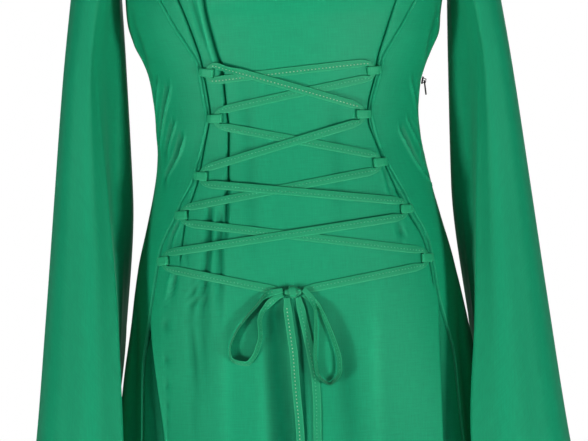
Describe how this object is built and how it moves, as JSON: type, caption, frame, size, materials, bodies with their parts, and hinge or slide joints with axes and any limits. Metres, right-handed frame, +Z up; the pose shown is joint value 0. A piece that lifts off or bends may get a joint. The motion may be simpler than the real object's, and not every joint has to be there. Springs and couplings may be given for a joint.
{
  "type": "laced gown",
  "caption": "Full-length worn gown with wide trumpet sleeves, a square neck and a wide front panel cinched by a flat lace through cloth loops and tied in a bow.",
  "frame": {"origin": "midway between the two shoulder seams at the foot of the neck, where the wearer's shoulders hold the gown up", "axes": "+Z up, the front faces -Y, the wearer's left is +X"},
  "size_m": [0.7648, 0.6431, 1.4222],
  "materials": {
    "cloth": "smooth green crepe with a soft sheen",
    "lace": "the same crepe folded and stitched flat",
    "zip": "dark lacquered metal"
  },
  "bodies": {
    "gown": {"front": "cloth", "side_left": "cloth", "side_right": "cloth", "back": "cloth", "sleeve_left": "cloth", "sleeve_right": "cloth", "loop_right_1": "cloth", "loop_right_2": "cloth", "loop_right_3": "cloth", "loop_right_4": "cloth", "loop_right_5": "cloth", "loop_left_1": "cloth", "loop_left_2": "cloth", "loop_left_3": "cloth", "loop_left_4": "cloth", "loop_left_5": "cloth", "lace_bar": "lace", "lace_upper_1": "lace", "lace_upper_2": "lace", "lace_upper_3": "lace", "lace_upper_4": "lace", "lace_lower_1": "lace", "lace_lower_2": "lace", "lace_lower_3": "lace", "lace_lower_4": "lace", "lace_run_right": "lace", "lace_run_left": "lace", "knot": "lace", "bow_left": "lace", "bow_right": "lace", "tail_left": "lace", "tail_right": "lace", "zip_slider": "zip"},
    "pull_tab": {"zip_pull": "zip"}
  },
  "joints": [
    {"name": "pull_tab_hinge", "type": "hinge", "parent": "gown", "child": "pull_tab", "pos_m": [0.12946, 0, -0.35322], "axis": [0, -1, 0], "range_deg": [-6, 125]}
  ]
}
